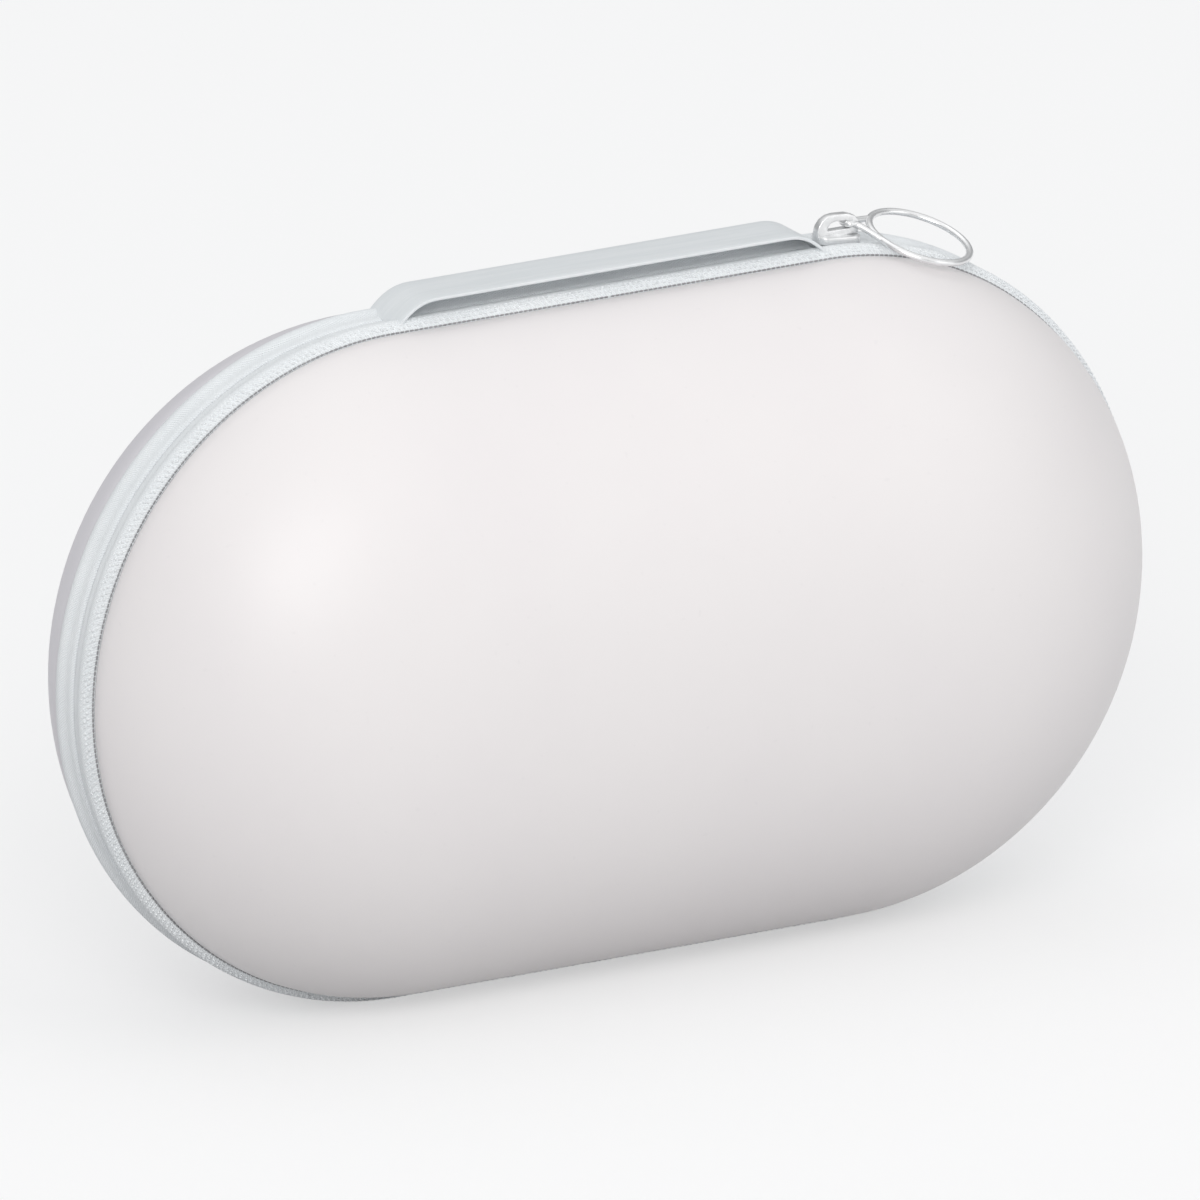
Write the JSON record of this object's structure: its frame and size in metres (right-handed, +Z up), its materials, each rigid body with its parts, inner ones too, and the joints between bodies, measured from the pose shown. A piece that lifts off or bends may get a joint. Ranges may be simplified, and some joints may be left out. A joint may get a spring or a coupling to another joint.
{
  "type": "electric toothbrush travel case",
  "caption": "Rounded hard-shell travel case that zips round its edge, with a flat carrying strap along the top and a slider with a ring pull.",
  "frame": {"origin": "middle of the footprint, on the surface that the case stands on", "axes": "+X along the case to the slider's end, +Y from the front shell to the rear shell, +Z up through the strap"},
  "size_m": [0.2184, 0.0914, 0.133],
  "materials": {
    "shell_front": "smooth satin moulded foam shell, warm white",
    "shell_rear": "smooth satin moulded foam shell, warm white",
    "woven_tape": "fine woven tape, cool pale grey",
    "coil_nylon": "nylon coil",
    "lining_cloth": "knitted lining",
    "binding_cloth": "bias binding",
    "strap_sheet": "smooth coated strap, cool pale grey",
    "board_plastic": "flexible stiffening strip",
    "cast_metal": "bright satin cast metal",
    "elastic_webbing": "elastic webbing",
    "net_cloth": "knitted net"
  },
  "bodies": {
    "rear_half": {"rear_shell": "shell_rear", "rear_lining": "lining_cloth", "rear_zipper_tape": "woven_tape", "rear_zipper_coil": "coil_nylon", "rear_binding": "binding_cloth", "handle_loop": "elastic_webbing", "neck_loop": "elastic_webbing"},
    "lid": {"front_shell": "shell_front", "front_lining": "lining_cloth", "front_zipper_tape": "woven_tape", "front_zipper_coil": "coil_nylon", "front_binding": "binding_cloth", "pocket_net": "net_cloth", "pocket_hem": "elastic_webbing", "spine_band": "woven_tape", "spine_board": "board_plastic", "spine_lining": "lining_cloth", "handle_strap": "strap_sheet", "zipper_stop_left": "coil_nylon", "zipper_stop_right": "coil_nylon"},
    "slider": {"slider_body": "cast_metal"},
    "pull": {"pull_ring": "cast_metal"}
  },
  "joints": [
    {"name": "lid_hinge", "type": "hinge", "parent": "rear_half", "child": "lid", "pos_m": [0, 0.0065, 0.12675], "axis": [1, 0, 0], "range_deg": [-95, 0]},
    {"name": "slider_travel", "type": "hinge", "parent": "lid", "child": "slider", "pos_m": [0.045, 0, 0.06425], "axis": [0, 1, 0], "range_deg": [0, 150]},
    {"name": "pull_swing", "type": "hinge", "parent": "slider", "child": "pull", "pos_m": [0.05207, 0, 0.13089], "axis": [0, -1, 0], "range_deg": [0, 95]}
  ]
}
